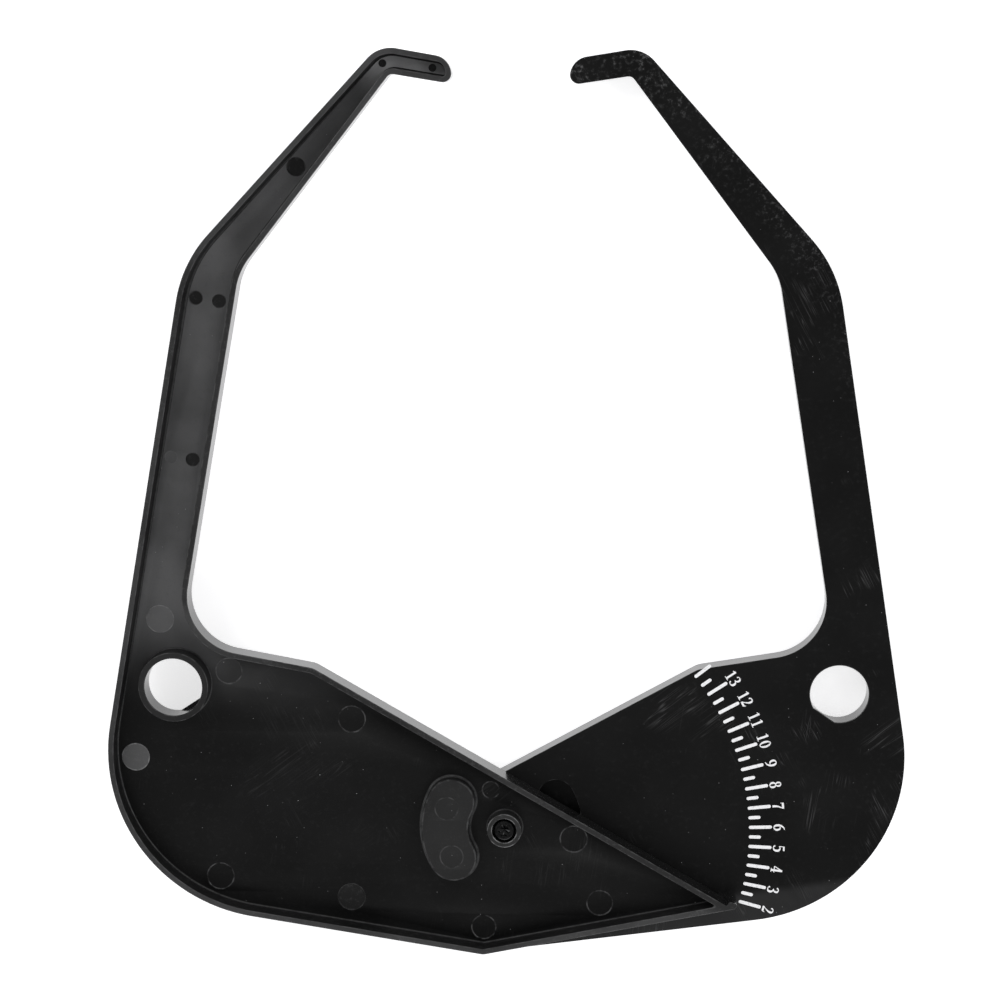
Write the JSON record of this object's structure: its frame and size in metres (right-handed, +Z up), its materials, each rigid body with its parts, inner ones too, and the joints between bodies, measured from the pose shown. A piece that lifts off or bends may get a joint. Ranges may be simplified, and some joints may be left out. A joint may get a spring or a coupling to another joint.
{
  "type": "rim width caliper",
  "caption": "Two pivoted tray-section plastic arms with inward noses that close on a wide rim and read its width on an arc scale at the pointer.",
  "frame": {"origin": "centre of the bounding box in plan, on the flat surface that the caliper lies on", "axes": "+Z up out of the face with the scale, +Y from the pivot towards the noses, +X towards the arm that carries the scale"},
  "size_m": [0.357, 0.403, 0.0243],
  "materials": {
    "black_plastic": "satin moulded black, finely scuffed, white printed scale on the lower arm",
    "black_oxide_steel": "black oxide, satin",
    "zinc_steel": "clear zinc plate, satin",
    "nylon": "natural nylon, matte"
  },
  "bodies": {
    "lower": {"right_arm": "black_plastic", "pivot_screw": "black_oxide_steel", "wave_washer": "black_oxide_steel", "flat_washer": "zinc_steel", "lock_nut": "zinc_steel", "nut_insert": "nylon"},
    "upper": {"left_arm": "black_plastic"}
  },
  "joints": [
    {"name": "jaw_pivot", "type": "hinge", "parent": "lower", "child": "upper", "pos_m": [0, -0.14422, 0.01215], "axis": [0, 0, 1], "range_deg": [0, 55.6]}
  ]
}
